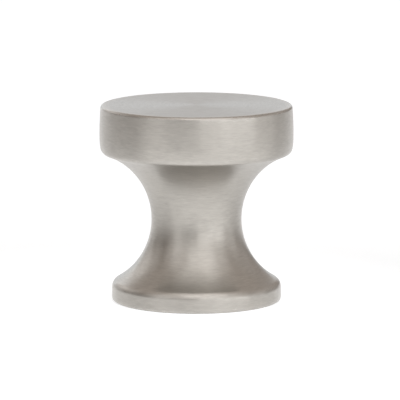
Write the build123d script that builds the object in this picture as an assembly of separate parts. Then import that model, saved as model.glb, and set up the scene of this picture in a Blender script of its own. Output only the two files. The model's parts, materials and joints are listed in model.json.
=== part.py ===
"""Round cabinet knob, turned in one piece: a crowned head, a waist of two coves and a base rim.

Millimetres. The knob stands on its mounting face: the origin is the centre of that face, and +Z runs
along the turning axis, away from the door or drawer front that the knob is screwed to.
"""

import os
from math import radians, tan

from build123d import *

# Overall
PROJECTION = 32.5  # mounting face to the face of the head

# Head
HEAD_DIAMETER = 32.0  # at the fullest part of its rim
HEAD_RIM_HEIGHT = 7.85  # face of the head to the corner where the rim meets the cove
HEAD_FULLEST_DEPTH = 5.2  # face of the head to the fullest part of its rim
HEAD_FACE_DRAW = 0.2  # how far the rim draws in from there to the face
HEAD_BACK_DRAW = 0.28  # how far the rim draws in from there to the cove
HEAD_FACE_EDGE_RADIUS = 0.5
HEAD_BACK_EDGE_RADIUS = 1.15

# Waist
WAIST_DIAMETER = 14.9
WAIST_HEIGHT = 13.5  # mounting face to the narrowest place

# Base
BASE_DIAMETER = 28.0
BASE_RIM_HEIGHT = 3.1  # mounting face to the corner where the rim meets the cove
BASE_TOP_EDGE_RADIUS = 1.5
BASE_BOTTOM_EDGE_RADIUS = 0.45

# Blind hole, drilled for an M4 thread
TAP_DRILL_DIAMETER = 3.3
TAP_DRILL_DEPTH = 12.0  # mounting face to the end of the round wall
DRILL_POINT_ANGLE = 118.0
HOLE_MOUTH_DIAMETER = 4.5
HOLE_MOUTH_ANGLE = 90.0


def rounded(profile, corner, radius):
    """The same flat profile with one of its corners rounded off."""
    return fillet(profile.vertices().sort_by_distance(corner)[0], radius)


def knob_profile():
    """Half section through the turning axis: X is the distance from the axis, Y the height."""
    head_radius = HEAD_DIAMETER / 2
    head_fullest = (head_radius, PROJECTION - HEAD_FULLEST_DEPTH)
    head_face_corner = (head_radius - HEAD_FACE_DRAW, PROJECTION)
    head_back_corner = (head_radius - HEAD_BACK_DRAW, PROJECTION - HEAD_RIM_HEIGHT)
    waist = (WAIST_DIAMETER / 2, WAIST_HEIGHT)
    base_top_corner = (BASE_DIAMETER / 2, BASE_RIM_HEIGHT)
    base_bottom_corner = (BASE_DIAMETER / 2, 0)

    outline = Curve() + [
        Line((0, 0), base_bottom_corner),
        Line(base_bottom_corner, base_top_corner),
        TangentArc(waist, base_top_corner, tangent=(0, -1)),
        TangentArc(waist, head_back_corner, tangent=(0, 1)),
        TangentArc(head_fullest, head_back_corner, tangent=(0, -1)),
        TangentArc(head_fullest, head_face_corner, tangent=(0, 1)),
        Line(head_face_corner, (0, PROJECTION)),
        Line((0, PROJECTION), (0, 0)),
    ]
    profile = make_face(outline)
    profile = rounded(profile, head_face_corner, HEAD_FACE_EDGE_RADIUS)
    profile = rounded(profile, head_back_corner, HEAD_BACK_EDGE_RADIUS)
    profile = rounded(profile, base_top_corner, BASE_TOP_EDGE_RADIUS)
    return rounded(profile, base_bottom_corner, BASE_BOTTOM_EDGE_RADIUS)


def screw_hole_profile():
    """Half section of the hole: a countersunk mouth, the round wall and the drill's pointed end."""
    wall_radius = TAP_DRILL_DIAMETER / 2
    mouth_radius = HOLE_MOUTH_DIAMETER / 2
    mouth_depth = (mouth_radius - wall_radius) / tan(radians(HOLE_MOUTH_ANGLE / 2))
    point_length = wall_radius / tan(radians(DRILL_POINT_ANGLE / 2))
    return make_face(
        Polyline(
            (0, 0),
            (mouth_radius, 0),
            (wall_radius, mouth_depth),
            (wall_radius, TAP_DRILL_DEPTH),
            (0, TAP_DRILL_DEPTH + point_length),
            close=True,
        )
    )


def turned(profile):
    """A half section spun once round the knob's own axis."""
    return revolve(Plane.XZ * profile, axis=Axis.Z)


knob = turned(knob_profile()) - turned(screw_hole_profile())

os.makedirs("parts", exist_ok=True)
export_step(knob, "parts/knob.step")
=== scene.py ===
"""Looks of a round cabinet knob: one turned piece of brushed metal, standing on a plain pale floor.

Metres. +Z runs along the turning axis, away from the mounting face, which rests on the floor at z = 0.
"""

import json
from math import atan2, cos, hypot, pi, radians, sin, sqrt, tan

import bpy
import numpy as np
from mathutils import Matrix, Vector


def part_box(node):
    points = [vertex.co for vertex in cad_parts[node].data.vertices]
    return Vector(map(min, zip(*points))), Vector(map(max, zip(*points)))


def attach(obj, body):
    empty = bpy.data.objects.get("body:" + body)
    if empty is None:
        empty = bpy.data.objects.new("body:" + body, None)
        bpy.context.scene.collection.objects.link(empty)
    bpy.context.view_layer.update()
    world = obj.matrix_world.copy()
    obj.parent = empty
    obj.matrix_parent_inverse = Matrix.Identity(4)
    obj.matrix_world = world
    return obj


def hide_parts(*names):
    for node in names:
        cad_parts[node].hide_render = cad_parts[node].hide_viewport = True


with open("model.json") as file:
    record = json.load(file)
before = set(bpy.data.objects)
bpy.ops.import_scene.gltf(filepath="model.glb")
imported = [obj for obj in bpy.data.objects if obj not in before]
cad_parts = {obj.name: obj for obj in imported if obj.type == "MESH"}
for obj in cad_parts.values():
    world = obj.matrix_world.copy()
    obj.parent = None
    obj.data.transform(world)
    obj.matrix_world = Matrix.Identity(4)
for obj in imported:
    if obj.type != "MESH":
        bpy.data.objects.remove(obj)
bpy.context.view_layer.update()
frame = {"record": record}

MM = 0.001
QUARTER_TURN = pi / 2
HALF_TURN = pi
FULL_TURN = 2 * pi

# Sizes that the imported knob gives
_, knob_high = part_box("knob")
screw_hole = next(m for m in frame["record"]["mounts"] if m["name"] == "screw_hole")
PROJECTION = knob_high.z
HEAD_RADIUS = knob_high.x
DRILL_RADIUS = screw_hole["dims"]["r_mm"] * MM

# Turned outline
HEAD_RIM_HEIGHT = 7.85 * MM  # face of the head to the corner where the rim meets the cove
HEAD_FULLEST_DEPTH = 5.2 * MM  # face of the head to the fullest part of its rim
HEAD_FACE_DRAW = 0.2 * MM  # how far the rim draws in from there to the face
HEAD_BACK_DRAW = 0.28 * MM  # how far the rim draws in from there to the cove
HEAD_FACE_EDGE = 0.5 * MM
HEAD_BACK_EDGE = 1.15 * MM
WAIST_RADIUS = 7.45 * MM
WAIST_HEIGHT = 13.5 * MM
BASE_RADIUS = 14.0 * MM
BASE_RIM_HEIGHT = 3.1 * MM
BASE_TOP_EDGE = 1.5 * MM
BASE_BOTTOM_EDGE = 0.45 * MM

# Tapped hole
MOUTH_RADIUS = 2.25 * MM
HOLE_DEPTH = 12.0 * MM
DRILL_POINT_ANGLE = radians(118)
THREAD_RADIUS = 2.0 * MM
THREAD_PITCH = 0.7 * MM
THREAD_LENGTH = 9.8 * MM
THREAD_RUN_OUT = 0.7 * MM
THREAD_CREST_SHARE = 1 / 4  # of the pitch, at the drilled radius
THREAD_ROOT_SHARE = 1 / 8  # of the pitch, at the full radius

# Mesh density: columns round the axis, and points along each stretch of the section
SEGMENTS = 192
ROWS_PER_PITCH = 12
DRILL_POINT_ROWS = 5
MOUNTING_FACE_ROWS = 8
BASE_BOTTOM_EDGE_ROWS = 10
BASE_RIM_ROWS = 4
BASE_TOP_EDGE_ROWS = 18
COVE_ROWS = 44
HEAD_BACK_EDGE_ROWS = 18
LOW_RIM_ROWS = 12
HIGH_RIM_ROWS = 14
HEAD_FACE_EDGE_ROWS = 16
HEAD_FACE_ROWS = 14
HOLD = 0.03 * MM  # how near to its ends a straight stretch has a ring, so that smooth shading stays flat

# The knob's material slots
BRUSHED, FACED, TURNED = 0, 1, 2

# Camera, from the fit of the knob's outline to the photograph
CAMERA_DISTANCE = 700 * MM
CAMERA_ELEVATION = radians(9.07)
CAMERA_AIM = Vector((0.58 * MM, 0, 16.6 * MM))
CAMERA_SCALE = 6.054 / MM  # pixels to the metre at the aim
CAMERA_NEAR, CAMERA_FAR = 0.01, 10
PICTURE_WIDTH = 400
SENSOR_WIDTH = 36

# Grain of the metal: marks to the millimetre along and across it, then its noise's detail and roughness
STROKES = (0.9, 8.0, 3.0, 0.6)
BANDS = (0.45, 2.4, 2.0, 0.5)
PATCHES = (0.16, 0.3, 1.0, 0.5)
FACE_MARKS = (0.7, 9.0, 2.0, 0.5)
LATHE_STROKES = (0.45, 2.4, 3.0, 0.6)
GRAIN_SPREAD = (0.3, 0.7)  # holds nearly all of a grain's values
GRAIN_CORE = (0.35, 0.65)  # holds most of them
GRAIN_MIDDLE = 0.5
TOOL_FEED = 0.4  # mm between the lathe's marks

# Share of the grains in the marks
BAND_SHARE = 0.4  # on the outside
PATCH_STRENGTH = (0.6, 1.0)  # of the marks in faint and in strong patches
LATHE_STROKE_SHARE = 0.5  # on the mounting face

# Colour and gloss of the metal. A roughness is given at dark and at light marks.
DARK_METAL = (0.337, 0.32, 0.296, 1)
LIGHT_METAL = (0.475, 0.452, 0.417, 1)
FACE_DARK = (0.381, 0.37, 0.354, 1)
FACE_LIGHT = (0.445, 0.432, 0.412, 1)
BARE_METAL = (0.51, 0.487, 0.458, 1)
TONE_SPREAD = (0.25, 0.75)  # the marks that are as dark and as light as the metal gets
BRUSHED_ROUGH = (0.37, 0.28)
FACED_ROUGH = (0.4, 0.32)
TURNED_ROUGH = (0.36, 0.24)
ACROSS_THE_GRAIN = 0.25  # of a turn
BRUSHED_PULL = 0.7  # how far highlights are drawn out that way
FACED_PULL = 0.4
TURNED_PULL = 0.5

# Rubbed edges
WEAR_REACH = 0.6 * MM  # how far from a rounded edge the metal is rubbed
RUBBED_SHARE = (0.2, 0.6)  # how much of that wear takes, at dark and at light strokes
RUBBED_ROUGH = 0.24

# Relief
STROKE_DEPTH = 0.0015 * MM
FACE_DEPTH = 0.0006 * MM
TOOL_DEPTH = 0.006 * MM

# Floor, with painted light. Each glow goes from its first level to its second over a reach, in metres from
# its centre.
FLOOR_RADIUS = 2.5
FLOOR_CORNERS = 96
FLOOR_DROP = 0.01 * MM  # keeps the floor clear of the mounting face
FLOOR_COLOUR = (0.81, 0.85, 0.885, 1)
FLOOR_ROUGHNESS = 0.9
GLOW_COLOUR = (1, 1, 1, 1)
# Painted light: the floor glows, though it is no lamp, more in front, round one place behind and close to
# the knob
FRONT_WAY = (0.26, -0.966, 0)
FRONT_START = (0.0, 0.04)  # where the front half begins, measured that way
FRONT_CENTRE, FRONT_REACH, FRONT_GLOW = (0, 0, 0), (0.14, 0.5), (0.66, 0.27)
BACK_CENTRE, BACK_REACH, BACK_GLOW = (0, 0.3, 0), (0.2, 0.29), (0.33, 0.235)
# NEAR_GLOW is a painted pool of light round the knob, over its shadow on the floor
NEAR_CENTRE, NEAR_REACH, NEAR_GLOW = (-0.007, 0.004, 0), (0.02, 0.055), (0.28, 0.0)

# Room. Its light follows how far the way looked lies along ROOM_UP, CARD_WAY and GAP_WAY.
ROOM_COLOUR = (1.11, 1.0, 0.92, 1)
ROOM_UP = (0.06, 0.06, 0.996)  # leans, so that the room is darker to the left and in front
HORIZON_REACH, HORIZON_LIGHT = (0.1, 0.28), (0.24, 0.46)
CEILING_REACH, CEILING_LIFT = (0.5, 0.9), (1.0, 1.35)
CARD_WAY = (-0.967, -0.07, 0.242)  # where a dark card stands
CARD_REACH, CARD_SHADE = (0.955, 0.995), (1.0, 0.8)
GAP_WAY = (-0.31, -0.95, 0.03)  # where a dark gap lies between the lights
GAP_REACH, GAP_TOP, GAP_SHADE = (0.92, 0.96), (0.02, 0.14), (1.0, 0.05)
NONE_TO_FULL, FULL_TO_NONE = (0.0, 1.0), (1.0, 0.0)

# Softboxes: name, azimuth, elevation, width and height in degrees, radiance and colour
LIGHT_DISTANCE = 1.2
POWER_FACTOR = 4  # a rectangular light's power is this times its area and its radiance
PALE = (0.98, 1.0, 1.02)
COOL = (0.91, 1.0, 1.07)
SOFTBOXES = [
    ("key_light", 14, 46, 50, 40, 0.47, PALE),
    ("wide_key_light", 8, 49, 104, 58, 0.36, PALE),
    ("top_light", 0, 78, 40, 14, 0.45, PALE),
    ("low_front_light", 17, 12, 28, 13, 1.45, PALE),
    ("low_gap_light", -20, 18, 40, 12, 0.45, PALE),
    ("low_right_light", 51, 7, 44, 11, 1.7, PALE),
    ("far_right_light", 90, 10, 34, 16, 0.36, PALE),
    ("right_light", 108, 22, 60, 28, 0.12, PALE),
    ("low_left_light", -50, 11, 20, 13, 0.55, PALE),
    ("left_light", -60, 28, 32, 22, 0.26, PALE),
    ("far_left_light", -118, 28, 40, 22, 0.26, PALE),
    ("back_left_light", -140, 18, 34, 32, 0.33, PALE),
    ("back_light", 187, 13, 42, 36, 0.51, COOL),
]


def straight(start, end, count):
    """Points on a straight line, evenly spaced, with one more just inside each end."""
    start, end = np.array(start), np.array(end)
    hold = HOLD / np.linalg.norm(end - start)
    share = np.sort(np.concatenate([np.linspace(0, 1, count), [hold, 1 - hold]]))
    return start + (end - start) * share[:, None]


def arc(centre, radius, first, last, count):
    """Points on a circle, at equal steps of angle from first to last, in radians."""
    angle = np.linspace(first, last, count)
    return np.array(centre) + radius * np.stack([np.cos(angle), np.sin(angle)], 1)


def direction(centre, point):
    """Angle of the way from a centre to a point of the outline, from 0 to a full turn."""
    return atan2(point[1] - centre[1], point[0] - centre[0]) % FULL_TURN


def outer_meeting(centre_a, radius_a, centre_b, radius_b):
    """The crossing of two circles that lies furthest from the axis: along the line of centres by the
    cosine rule, then square to that line."""
    along = np.array(centre_b) - np.array(centre_a)
    gap = hypot(*along)
    along = along / gap
    reach = (gap**2 + radius_a**2 - radius_b**2) / (2 * gap)
    foot = np.array(centre_a) + along * reach
    square = np.array([-along[1], along[0]]) * sqrt(radius_a**2 - reach**2)
    return max(foot + square, foot - square, key=lambda point: point[0])


def cove(corner):
    """Centre and radius of the cove that is upright at the waist and runs out through a corner.
    The radius is (width squared + height squared) / (2 width)."""
    width = corner[0] - WAIST_RADIUS
    height = corner[1] - WAIST_HEIGHT
    radius = (width**2 + height**2) / (2 * width)
    return (WAIST_RADIUS + radius, WAIST_HEIGHT), radius


def swell(height, draw):
    """Centre and radius of an arc of the head's rim, upright at the fullest place, that draws in over a
    height. The radius is (height squared + draw squared) / (2 draw)."""
    radius = (height**2 + draw**2) / (2 * draw)
    return (HEAD_RADIUS - radius, PROJECTION - HEAD_FULLEST_DEPTH), radius


def drill_point():
    """Half section of the drill's cone, as (distance from the axis, height), from its point to the end
    of the hole's round wall."""
    point_height = HOLE_DEPTH + DRILL_RADIUS / tan(DRILL_POINT_ANGLE / 2)
    return straight((0, point_height), (DRILL_RADIUS, HOLE_DEPTH), DRILL_POINT_ROWS)


def hole_wall():
    """Half section of the hole's round wall before it is tapped, from its deep end to the mouth."""
    rows = round(HOLE_DEPTH / THREAD_PITCH * ROWS_PER_PITCH)
    return straight((DRILL_RADIUS, HOLE_DEPTH), (DRILL_RADIUS, 0), rows)


def mounting_face():
    """Half section of the mounting face, from the hole's mouth to the rounding of the base."""
    return straight((MOUTH_RADIUS, 0), (BASE_RADIUS - BASE_BOTTOM_EDGE, 0), MOUNTING_FACE_ROWS)


def brushed_outside():
    """Half section of the outside, from the rounding of the base to the rounding of the head's face:
    straight stretches and arcs that meet without a kink. The centre of each rounded edge lies at the
    edge's own radius from both of the stretches beside it."""
    low_cove, low_radius = cove((BASE_RADIUS, BASE_RIM_HEIGHT))
    high_cove, high_radius = cove((HEAD_RADIUS - HEAD_BACK_DRAW, PROJECTION - HEAD_RIM_HEIGHT))
    low_rim, low_rim_radius = swell(HEAD_RIM_HEIGHT - HEAD_FULLEST_DEPTH, HEAD_BACK_DRAW)
    high_rim, high_rim_radius = swell(HEAD_FULLEST_DEPTH, HEAD_FACE_DRAW)

    bottom_edge = (BASE_RADIUS - BASE_BOTTOM_EDGE, BASE_BOTTOM_EDGE)
    top_edge_inset = BASE_RADIUS - BASE_TOP_EDGE
    top_edge_drop = sqrt((low_radius + BASE_TOP_EDGE) ** 2 - (low_cove[0] - top_edge_inset) ** 2)
    top_edge = (top_edge_inset, WAIST_HEIGHT - top_edge_drop)
    back_edge = outer_meeting(
        low_rim, low_rim_radius - HEAD_BACK_EDGE, high_cove, high_radius + HEAD_BACK_EDGE
    )
    face_edge_height = PROJECTION - HEAD_FACE_EDGE
    face_edge_rise = face_edge_height - high_rim[1]
    face_edge_reach = sqrt((high_rim_radius - HEAD_FACE_EDGE) ** 2 - face_edge_rise**2)
    face_edge = (high_rim[0] + face_edge_reach, face_edge_height)

    top_edge_turn = direction(top_edge, low_cove)
    low_cove_foot = direction(low_cove, top_edge)
    high_cove_top = direction(high_cove, back_edge)
    back_edge_low = direction(back_edge, high_cove) - FULL_TURN
    rim_low = direction(low_rim, back_edge) - FULL_TURN
    rim_high = direction(high_rim, face_edge)
    stretches = [
        arc(bottom_edge, BASE_BOTTOM_EDGE, -QUARTER_TURN, 0, BASE_BOTTOM_EDGE_ROWS),
        straight((BASE_RADIUS, BASE_BOTTOM_EDGE), (BASE_RADIUS, top_edge[1]), BASE_RIM_ROWS),
        arc(top_edge, BASE_TOP_EDGE, 0, top_edge_turn, BASE_TOP_EDGE_ROWS),
        arc(low_cove, low_radius, low_cove_foot, HALF_TURN, COVE_ROWS),
        arc(high_cove, high_radius, HALF_TURN, high_cove_top, COVE_ROWS),
        arc(back_edge, HEAD_BACK_EDGE, back_edge_low, rim_low, HEAD_BACK_EDGE_ROWS),
        arc(low_rim, low_rim_radius, rim_low, 0, LOW_RIM_ROWS),
        arc(high_rim, high_rim_radius, 0, rim_high, HIGH_RIM_ROWS),
        arc(face_edge, HEAD_FACE_EDGE, rim_high, QUARTER_TURN, HEAD_FACE_EDGE_ROWS),
    ]
    return np.concatenate([stretch[:-1] for stretch in stretches] + [stretches[-1][-1:]])


def knob_section():
    """Half section of the whole skin: from the drill's point down the hole's wall, out over the mounting
    face and up the outside to the middle of the head's face. Its two ends lie on the axis, and every
    point between them is a ring. With it come the rings where the wall, the mounting face, the outside
    and the head's face begin."""
    point, wall, back, outside = drill_point(), hole_wall(), mounting_face(), brushed_outside()
    face = straight(outside[-1], (0, PROJECTION), HEAD_FACE_ROWS)
    section = np.concatenate([point[:-1], wall[:-1], back[:-1], outside[:-1], face])
    wall_ring = len(point) - 2
    back_ring = wall_ring + len(wall) - 1
    outside_ring = back_ring + len(back) - 1
    face_ring = outside_ring + len(outside) - 1
    return section, (wall_ring, back_ring, outside_ring, face_ring)


def edge_wear(section, length):
    """How much each point of the section is rubbed, from 0 to 1: the outward turning of the section
    near the point, weighted by a bell curve of the distance, as a share of a quarter turn."""
    step = np.diff(section, axis=0)
    turning = np.diff(np.unwrap(np.arctan2(step[:, 1], step[:, 0])))
    apart = length[:, None] - length[1:-1]
    return np.clip(np.exp(-((apart / WEAR_REACH) ** 2)) @ turning / QUARTER_TURN, 0, 1)


def tapped_radius(angle, height):
    """Radius of the hole's wall at an angle and a height.

    One turn climbs one pitch, so a point's phase is its height in pitches less its share of a turn. Over
    one phase the thread goes from its crest, at the drilled radius, out to its root, at the full radius,
    and back, as a wave with flat ends and straight flanks. It dies away over the run-out at its deep end,
    and the countersunk mouth, a 45 degree cone, cuts what stands inside it.
    """
    phase = (height / THREAD_PITCH - angle / FULL_TURN) % 1
    from_root = np.abs(2 * phase - 1)
    flank = 1 - THREAD_CREST_SHARE - THREAD_ROOT_SHARE
    cut = np.clip((1 - THREAD_CREST_SHARE - from_root) / flank, 0, 1)
    fade = np.clip((THREAD_LENGTH - height) / THREAD_RUN_OUT, 0, 1)
    thread = DRILL_RADIUS + (THREAD_RADIUS - DRILL_RADIUS) * cut * fade
    return np.maximum(thread, MOUTH_RADIUS - height)


def skin_points(section, wall_ring, back_ring):
    """Points of the skin: each ring at equal steps of angle round the axis, with the thread's radius on
    the hole's wall, and after the rings the section's two ends."""
    rings = section[1:-1]
    angle = np.arange(SEGMENTS) * FULL_TURN / SEGMENTS
    radius = np.repeat(rings[:, :1], SEGMENTS, axis=1)
    radius[wall_ring:back_ring] = tapped_radius(angle, rings[wall_ring:back_ring, 1:])
    height = np.repeat(rings[:, 1:], SEGMENTS, axis=1)
    grid = np.stack([radius * np.cos(angle), radius * np.sin(angle), height], axis=2)
    ends = np.array([[0, 0, section[0, 1]], [0, 0, section[-1, 1]]])
    return np.concatenate([grid.reshape(-1, 3), ends])


def skin_faces(ring_count):
    """Faces of the skin: quads between neighbouring rings, then a fan of triangles at each end, all
    counter-clockwise from outside."""
    column = np.arange(SEGMENTS)
    after = (column + 1) % SEGMENTS
    low = np.arange(ring_count - 1)[:, None] * SEGMENTS
    high = low + SEGMENTS
    quads = np.stack([low + column, low + after, high + after, high + column], axis=2).reshape(-1, 4)
    first_end = ring_count * SEGMENTS
    last_end = first_end + 1
    last_ring = first_end - SEGMENTS
    first_fan = np.stack([np.full(SEGMENTS, first_end), after, column], axis=1)
    last_fan = np.stack([last_ring + column, last_ring + after, np.full(SEGMENTS, last_end)], axis=1)
    return [*quads.tolist(), *first_fan.tolist(), *last_fan.tolist()]


def lay_uv(mesh, share):
    """The UV map. U is the share of a turn, and V the share of the section's length. The tip of a fan's
    triangle has the U of the triangle's middle."""
    column = np.arange(SEGMENTS)
    left, middle, right = column / SEGMENTS, (column + 0.5) / SEGMENTS, (column + 1) / SEGMENTS
    low, high = share[1:-2], share[2:-1]
    across = np.stack([left, right, right, left], axis=1)
    along = np.stack([low, low, high, high], axis=1)
    quad_u = np.broadcast_to(across, (len(low), SEGMENTS, 4))
    quad_v = np.broadcast_to(along[:, None, :], (len(low), SEGMENTS, 4))
    first_u = np.stack([middle, right, left], axis=1)
    last_u = np.stack([left, right, middle], axis=1)
    first_v = np.broadcast_to([share[0], share[1], share[1]], (SEGMENTS, 3))
    last_v = np.broadcast_to([share[-2], share[-2], share[-1]], (SEGMENTS, 3))
    corner_u = np.concatenate([part.ravel() for part in (quad_u, first_u, last_u)])
    corner_v = np.concatenate([part.ravel() for part in (quad_v, first_v, last_v)])
    corners = np.stack([corner_u, corner_v], axis=1).astype(np.float32)
    mesh.uv_layers.new(name="OFBake").uv.foreach_set("vector", corners.ravel())


def keep_by_ring(mesh, name, values):
    """An attribute of the mesh's points that keeps one value for each point of the section."""
    by_point = np.concatenate([np.repeat(values[1:-1], SEGMENTS), values[[0, -1]]])
    attribute = mesh.attributes.new(name, "FLOAT", "POINT")
    attribute.data.foreach_set("value", by_point.astype(np.float32))


def lay_finishes(mesh, ring_count, outside_ring, face_ring):
    """Each face's material slot: turned in the hole and on the mounting face, then brushed up to the
    head's face, and there faced."""
    row = np.arange(ring_count - 1)
    finish = np.select([row < outside_ring, row < face_ring], [TURNED, BRUSHED], FACED)
    fans = [np.full(SEGMENTS, TURNED), np.full(SEGMENTS, FACED)]
    slots = np.concatenate([np.repeat(finish, SEGMENTS), *fans])
    mesh.polygons.foreach_set("material_index", slots.astype(np.int32))


def sharpen(mesh, rings):
    """Marks the edges along these rings as sharp. A point's ring is its number, divided by the number of
    columns and rounded down."""
    ends = np.empty(len(mesh.edges) * 2, np.int32)
    mesh.edges.foreach_get("vertices", ends)
    ring_of_ends = ends.reshape(-1, 2) // SEGMENTS
    level = ring_of_ends[:, 0] == ring_of_ends[:, 1]
    mesh.edges.foreach_set("use_edge_sharp", level & np.isin(ring_of_ends[:, 0], rings))


def make_knob():
    """The knob as one closed skin: its half section carried round the axis.

    Rings follow the section, and columns run round the axis. Both ends of the section lie on the axis, and
    each is one vertex with a fan of triangles. The attribute outline_mm keeps the section's length up to a
    ring, and the attribute edge_wear how much a ring is rubbed.
    """
    section, (wall_ring, back_ring, outside_ring, face_ring) = knob_section()
    ring_count = len(section) - 2
    steps = np.linalg.norm(np.diff(section, axis=0), axis=1)
    length = np.concatenate([[0], np.cumsum(steps)])

    mesh = bpy.data.meshes.new("knob_skin")
    points = skin_points(section, wall_ring, back_ring)
    mesh.from_pydata(points.tolist(), [], skin_faces(ring_count))
    mesh.shade_smooth()
    lay_uv(mesh, length / length[-1])
    keep_by_ring(mesh, "outline_mm", length / MM)
    keep_by_ring(mesh, "edge_wear", edge_wear(section, length))
    lay_finishes(mesh, ring_count, outside_ring, face_ring)
    sharpen(mesh, [wall_ring, back_ring])

    knob = bpy.data.objects.new("turned_knob", mesh)
    bpy.context.scene.collection.objects.link(knob)
    return knob


def add_node(tree, kind, settings=(), **inputs):
    """A shader node with its settings and the values of its inputs. In an input's name, _ is a space."""
    node = tree.nodes.new(kind)
    for name, value in dict(settings).items():
        setattr(node, name, value)
    for name, value in inputs.items():
        node.inputs[name.replace("_", " ")].default_value = value
    return node


def feed(tree, given, socket):
    """Puts a plain number or another node's output into a socket."""
    if isinstance(given, float):
        socket.default_value = given
    else:
        tree.links.new(given, socket)


def combined(tree, operation, first, second):
    """Two values under one operation, such as ADD. Each is a plain number or a node's output."""
    node = add_node(tree, "ShaderNodeMath", {"operation": operation})
    feed(tree, first, node.inputs[0])
    feed(tree, second, node.inputs[1])
    return node.outputs["Value"]


def mixed(tree, share, first, second):
    """First where the share is 0 and second where it is 1. Each is a plain number or a node's output."""
    node = add_node(tree, "ShaderNodeMix")
    feed(tree, share, node.inputs["Factor"])
    feed(tree, first, node.inputs["A"])
    feed(tree, second, node.inputs["B"])
    return node.outputs["Result"]


def ranged(tree, value, span, levels, course="LINEAR"):
    """A value carried from a span to two levels, and held at both ends."""
    node = add_node(
        tree, "ShaderNodeMapRange", {"interpolation_type": course},
        From_Min=span[0], From_Max=span[1], To_Min=levels[0], To_Max=levels[1],
    )
    tree.links.new(value, node.inputs["Value"])
    return node.outputs["Result"]


def eased(tree, value, span, levels):
    """A value carried from a span to two levels, with a gentle start and end."""
    return ranged(tree, value, span, levels, "SMOOTHSTEP")


def measured(tree, operation, place, other):
    """One number from two vectors: DISTANCE, or DOT_PRODUCT, which is how far a place lies that way."""
    node = add_node(tree, "ShaderNodeVectorMath", {"operation": operation})
    tree.links.new(place, node.inputs[0])
    node.inputs[1].default_value = other
    return node.outputs["Value"]


def ring_value(tree, name):
    """A value that the mesh keeps for each of its rings."""
    return add_node(tree, "ShaderNodeAttribute", {"attribute_name": name}).outputs["Fac"]


def grain(tree, run, across, detail, roughness):
    """Noise drawn out along a grain that runs round the axis. A point's place in it is X and Y, times run,
    and the length of the outline, times across, both in marks to the millimetre."""
    place = add_node(tree, "ShaderNodeTexCoord")
    slow = add_node(tree, "ShaderNodeVectorMath", {"operation": "MULTIPLY"})
    slow.inputs[1].default_value = (run / MM, run / MM, 0)
    tree.links.new(place.outputs["Object"], slow.inputs[0])
    quick = add_node(tree, "ShaderNodeCombineXYZ")
    tree.links.new(combined(tree, "MULTIPLY", ring_value(tree, "outline_mm"), across), quick.inputs["Z"])
    total = add_node(tree, "ShaderNodeVectorMath", {"operation": "ADD"})
    tree.links.new(slow.outputs["Vector"], total.inputs[0])
    tree.links.new(quick.outputs["Vector"], total.inputs[1])
    noise = add_node(tree, "ShaderNodeTexNoise", Scale=1.0, Detail=detail, Roughness=roughness)
    tree.links.new(total.outputs["Vector"], noise.inputs["Vector"])
    return noise.outputs["Fac"]


def new_metal(name, pull):
    """A node material with its output and a shader of bare metal, whose highlights are drawn out across
    the grain that runs round the axis."""
    material = bpy.data.materials.new(name)
    material.use_nodes = True
    tree = material.node_tree
    tree.nodes.clear()
    output = tree.nodes.new("ShaderNodeOutputMaterial")
    shader = add_node(
        tree, "ShaderNodeBsdfPrincipled",
        Metallic=1.0, Anisotropic=pull, Anisotropic_Rotation=ACROSS_THE_GRAIN,
    )
    tree.links.new(shader.outputs["BSDF"], output.inputs["Surface"])
    return material, tree, shader


def lay_colour(tree, shader, marks, dark, light, wear):
    """Colour of the metal: from dark to light with the marks, and barer where it is worn."""
    tone = add_node(tree, "ShaderNodeValToRGB")
    for element, position, colour in zip(tone.color_ramp.elements, TONE_SPREAD, (dark, light)):
        element.position = position
        element.color = colour
    tree.links.new(marks, tone.inputs["Fac"])
    rubbed = add_node(tree, "ShaderNodeMix", {"data_type": "RGBA"})
    rubbed.inputs["B"].default_value = BARE_METAL
    tree.links.new(wear, rubbed.inputs["Factor"])
    tree.links.new(tone.outputs["Color"], rubbed.inputs["A"])
    tree.links.new(rubbed.outputs["Result"], shader.inputs["Base Color"])


def lay_relief(tree, shader, height, depth):
    """Relief of the surface: marks that are depth deep."""
    bump = add_node(tree, "ShaderNodeBump", Strength=1.0, Distance=depth)
    tree.links.new(height, bump.inputs["Height"])
    tree.links.new(bump.outputs["Normal"], shader.inputs["Normal"])


def brushed_finish():
    """The outside: warm grey metal, brushed round the axis. Fine strokes over broader bands, stronger in
    some patches than in others, set its colour. The strokes also set its roughness and a very shallow
    relief, and the rounded edges are rubbed barer and smoother."""
    material, tree, shader = new_metal("brushed_finish", BRUSHED_PULL)
    strokes = grain(tree, *STROKES)
    bands = grain(tree, *BANDS)
    patches = grain(tree, *PATCHES)
    strength = ranged(tree, patches, GRAIN_CORE, PATCH_STRENGTH)
    marks = mixed(tree, strength, GRAIN_MIDDLE, mixed(tree, BAND_SHARE, strokes, bands))
    rubbing = ranged(tree, strokes, GRAIN_CORE, RUBBED_SHARE)
    wear = combined(tree, "MULTIPLY", ring_value(tree, "edge_wear"), rubbing)
    lay_colour(tree, shader, marks, DARK_METAL, LIGHT_METAL, wear)
    rough = mixed(tree, wear, ranged(tree, strokes, GRAIN_SPREAD, BRUSHED_ROUGH), RUBBED_ROUGH)
    tree.links.new(rough, shader.inputs["Roughness"])
    lay_relief(tree, shader, strokes, STROKE_DEPTH)
    return material


def faced_finish():
    """The head's face: the same metal, rubbed finer, so that its marks hardly show."""
    material, tree, shader = new_metal("faced_finish", FACED_PULL)
    marks = grain(tree, *FACE_MARKS)
    lay_colour(tree, shader, marks, FACE_DARK, FACE_LIGHT, ring_value(tree, "edge_wear"))
    tree.links.new(ranged(tree, marks, GRAIN_SPREAD, FACED_ROUGH), shader.inputs["Roughness"])
    lay_relief(tree, shader, marks, FACE_DEPTH)
    return material


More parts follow.
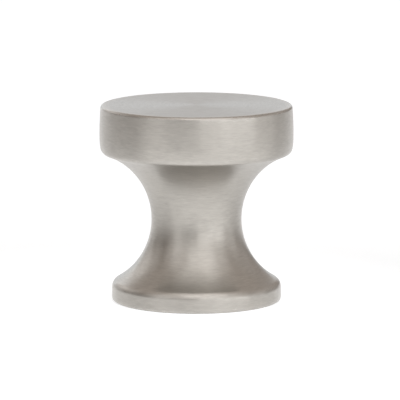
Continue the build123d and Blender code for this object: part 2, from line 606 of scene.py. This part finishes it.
def turned_finish():
    """The mounting face and the hole: the same metal as the lathe left it, with even ring marks, a sine
    wave along the outline, and fainter strokes along them."""
    material, tree, shader = new_metal("turned_finish", TURNED_PULL)
    turns = combined(tree, "MULTIPLY", ring_value(tree, "outline_mm"), FULL_TURN / TOOL_FEED)
    wave = add_node(tree, "ShaderNodeMath", {"operation": "SINE"})
    tree.links.new(turns, wave.inputs[0])
    rings = ranged(tree, wave.outputs["Value"], (-1.0, 1.0), GRAIN_SPREAD)
    marks = mixed(tree, LATHE_STROKE_SHARE, rings, grain(tree, *LATHE_STROKES))
    lay_colour(tree, shader, marks, DARK_METAL, LIGHT_METAL, ring_value(tree, "edge_wear"))
    tree.links.new(ranged(tree, marks, GRAIN_SPREAD, TURNED_ROUGH), shader.inputs["Roughness"])
    lay_relief(tree, shader, rings, TOOL_DEPTH)
    return material


def pale_sheet():
    """The floor's material: a matt pale sheet that glows a little, in painted light. Its front half glows
    more, and dims outwards. Behind the knob it glows a little more round one place, and close to the knob
    there is a painted pool of light over the knob's shadow."""
    material = bpy.data.materials.new("pale_sheet")
    material.use_nodes = True
    tree = material.node_tree
    shader = tree.nodes["Principled BSDF"]
    shader.inputs["Base Color"].default_value = FLOOR_COLOUR
    shader.inputs["Roughness"].default_value = FLOOR_ROUGHNESS
    shader.inputs["Specular IOR Level"].default_value = 0.0
    shader.inputs["Emission Color"].default_value = GLOW_COLOUR
    place = add_node(tree, "ShaderNodeTexCoord").outputs["Object"]
    # Painted light: the floor's glow, brighter in front and round one place behind the knob
    front = eased(tree, measured(tree, "DOT_PRODUCT", place, FRONT_WAY), FRONT_START, NONE_TO_FULL)
    front_glow = eased(tree, measured(tree, "DISTANCE", place, FRONT_CENTRE), FRONT_REACH, FRONT_GLOW)
    back_glow = eased(tree, measured(tree, "DISTANCE", place, BACK_CENTRE), BACK_REACH, BACK_GLOW)
    # Painted pool of light close to the knob, over its shadow
    near_glow = eased(tree, measured(tree, "DISTANCE", place, NEAR_CENTRE), NEAR_REACH, NEAR_GLOW)
    glow = combined(tree, "ADD", mixed(tree, front, back_glow, front_glow), near_glow)
    tree.links.new(glow, shader.inputs["Emission Strength"])
    return material


def make_floor():
    """A wide flat floor: one round face just below the mounting face."""
    angle = np.arange(FLOOR_CORNERS) * FULL_TURN / FLOOR_CORNERS
    drop = np.full(FLOOR_CORNERS, -FLOOR_DROP)
    rim = np.stack([FLOOR_RADIUS * np.cos(angle), FLOOR_RADIUS * np.sin(angle), drop], axis=1)
    mesh = bpy.data.meshes.new("floor")
    mesh.from_pydata(rim.tolist(), [], [list(range(FLOOR_CORNERS))])
    floor = bpy.data.objects.new("floor", mesh)
    bpy.context.scene.collection.objects.link(floor)
    mesh.materials.append(pale_sheet())


def make_room():
    """A dim warm room: darker at the horizon, at a card on the left and in a low gap in front, and brighter
    overhead."""
    world = bpy.data.worlds.new("studio")
    bpy.context.scene.world = world
    world.use_nodes = True
    tree = world.node_tree
    background = tree.nodes["Background"]
    background.inputs["Color"].default_value = ROOM_COLOUR
    way = add_node(tree, "ShaderNodeTexCoord").outputs["Generated"]
    height = measured(tree, "DOT_PRODUCT", way, ROOM_UP)
    rise = eased(tree, height, HORIZON_REACH, HORIZON_LIGHT)
    ceiling = eased(tree, height, CEILING_REACH, CEILING_LIFT)
    card = eased(tree, measured(tree, "DOT_PRODUCT", way, CARD_WAY), CARD_REACH, CARD_SHADE)
    gap_width = eased(tree, measured(tree, "DOT_PRODUCT", way, GAP_WAY), GAP_REACH, NONE_TO_FULL)
    gap_height = eased(tree, height, GAP_TOP, FULL_TO_NONE)
    gap = ranged(tree, combined(tree, "MULTIPLY", gap_width, gap_height), NONE_TO_FULL, GAP_SHADE)
    light = combined(tree, "MULTIPLY", rise, ceiling)
    shade = combined(tree, "MULTIPLY", card, gap)
    tree.links.new(combined(tree, "MULTIPLY", light, shade), background.inputs["Strength"])


def make_softbox(name, azimuth, elevation, wide, high, radiance, colour):
    """A rectangular light that faces the knob. Azimuth runs from the camera's side to the right. The
    angles and the angles that the light fills, wide and high, are in degrees."""
    data = bpy.data.lights.new(name, "AREA")
    data.shape = "RECTANGLE"
    data.size = 2 * LIGHT_DISTANCE * tan(radians(wide) / 2)
    data.size_y = 2 * LIGHT_DISTANCE * tan(radians(high) / 2)
    data.energy = POWER_FACTOR * data.size * data.size_y * radiance
    data.color = colour
    light = bpy.data.objects.new(name, data)
    round_it, up = radians(azimuth), radians(elevation)
    outward = Vector((sin(round_it) * cos(up), -cos(round_it) * cos(up), sin(up)))
    light.location = outward * LIGHT_DISTANCE
    light.rotation_euler = outward.to_track_quat("Z", "Y").to_euler()
    light.visible_camera = False
    bpy.context.scene.collection.objects.link(light)


def make_camera():
    """A long lens at the photograph's angle, far enough back for its slight perspective."""
    data = bpy.data.cameras.new("camera")
    data.sensor_width = SENSOR_WIDTH
    data.lens = CAMERA_SCALE * CAMERA_DISTANCE * SENSOR_WIDTH / PICTURE_WIDTH
    data.clip_start = CAMERA_NEAR
    data.clip_end = CAMERA_FAR
    camera = bpy.data.objects.new("camera", data)
    back = Vector((0, -cos(CAMERA_ELEVATION), sin(CAMERA_ELEVATION)))
    camera.location = CAMERA_AIM + back * CAMERA_DISTANCE
    camera.rotation_euler = (-back).to_track_quat("-Z", "Y").to_euler()
    bpy.context.scene.collection.objects.link(camera)
    bpy.context.scene.camera = camera


knob = make_knob()
knob.data.materials.append(brushed_finish())
knob.data.materials.append(faced_finish())
knob.data.materials.append(turned_finish())
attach(knob, "root")
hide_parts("knob")

make_floor()
make_room()
for softbox in SOFTBOXES:
    make_softbox(*softbox)
make_camera()
bpy.context.scene.view_settings.view_transform = "Standard"
